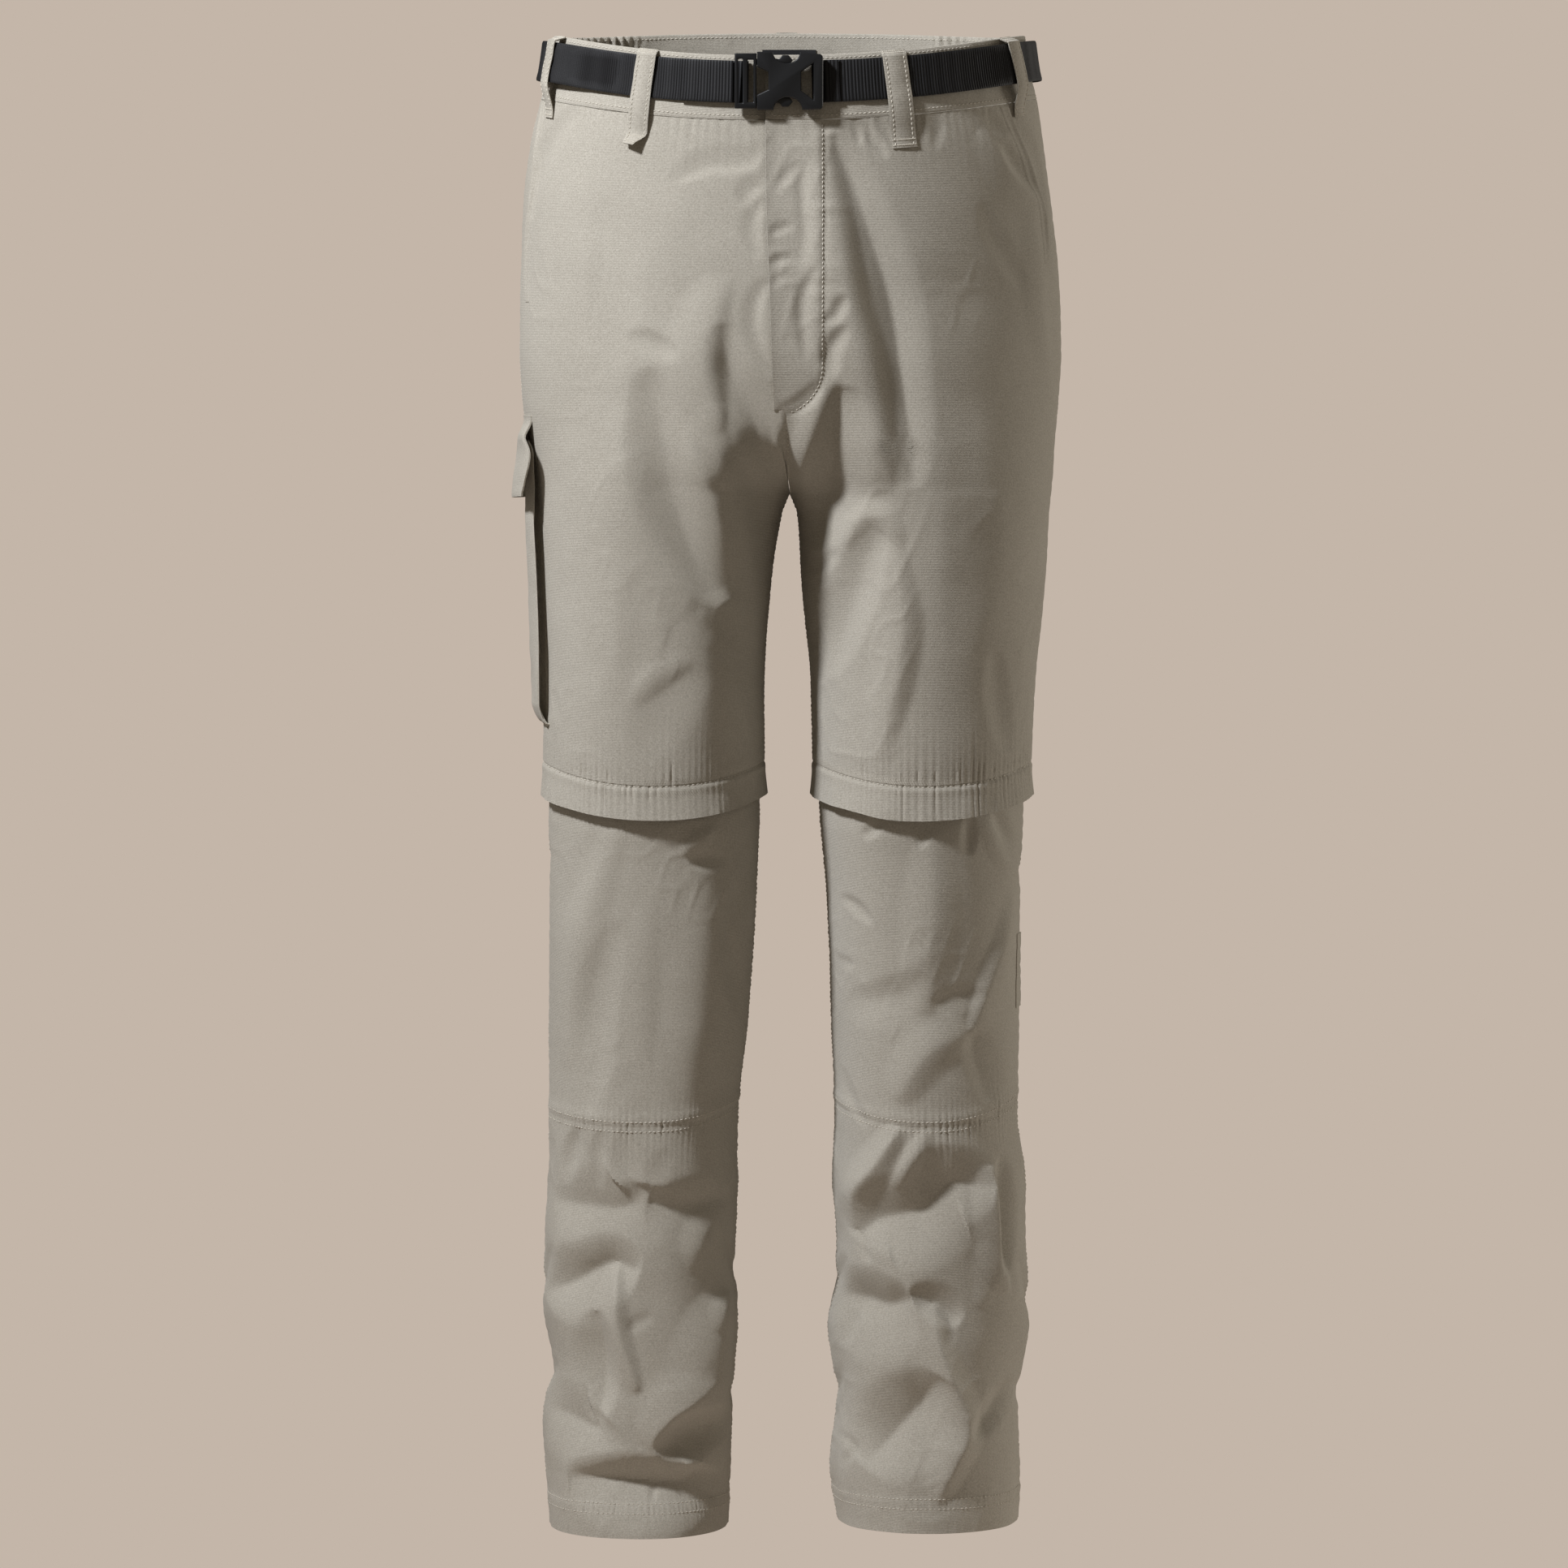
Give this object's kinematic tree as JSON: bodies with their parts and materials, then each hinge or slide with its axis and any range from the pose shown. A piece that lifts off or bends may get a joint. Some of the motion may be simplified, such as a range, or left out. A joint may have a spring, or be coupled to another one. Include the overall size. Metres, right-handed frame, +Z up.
{
  "type": "convertible zip-off trousers",
  "caption": "Hollow worn-shape walking trousers with knee zip covers, cargo pocket, fly, belt loops and a webbing belt with a side-release buckle.",
  "frame": {"origin": "middle of the waist opening, halfway up the waistband at the side seams, where the wearer's waist holds the garment", "axes": "+Z up along the standing wearer, the front faces -Y, +X is the wearer's left"},
  "size_m": [0.4033, 0.2811, 1.0911],
  "materials": {
    "cloth": "stone beige plain-woven polycotton, matt, soft creases",
    "webbing": "black cross-ribbed nylon webbing, slight sheen",
    "plastic": "black moulded plastic, satin",
    "zip_tape": "woven zip tape, beige",
    "label": "black woven label, bare"
  },
  "bodies": {
    "root": {"front_right": "cloth", "front_left": "cloth", "back_right": "cloth", "back_left": "cloth", "fly": "cloth", "waistband_front_right": "cloth", "waistband_front_left": "cloth", "waistband_side_right": "cloth", "waistband_side_left": "cloth", "waistband_back": "cloth", "loop_front_right": "cloth", "loop_front_left": "cloth", "loop_side_right": "cloth", "loop_side_left": "cloth", "loop_back": "cloth", "hand_pocket_right": "cloth", "hand_pocket_left": "cloth", "cargo_pocket": "cloth", "cargo_flap": "cloth", "zip_cover_right": "cloth", "zip_cover_left": "cloth", "knee_zip_right": "zip_tape", "knee_zip_left": "zip_tape", "knee_front_right": "cloth", "knee_front_left": "cloth", "shin_front_right": "cloth", "shin_front_left": "cloth", "calf_back_right": "cloth", "calf_back_left": "cloth", "side_tab": "cloth", "inside_label": "label", "belt_strap": "webbing", "belt_fold": "webbing", "belt_tail": "webbing", "buckle_socket": "plastic", "buckle_prongs": "plastic"}
  },
  "joints": []
}
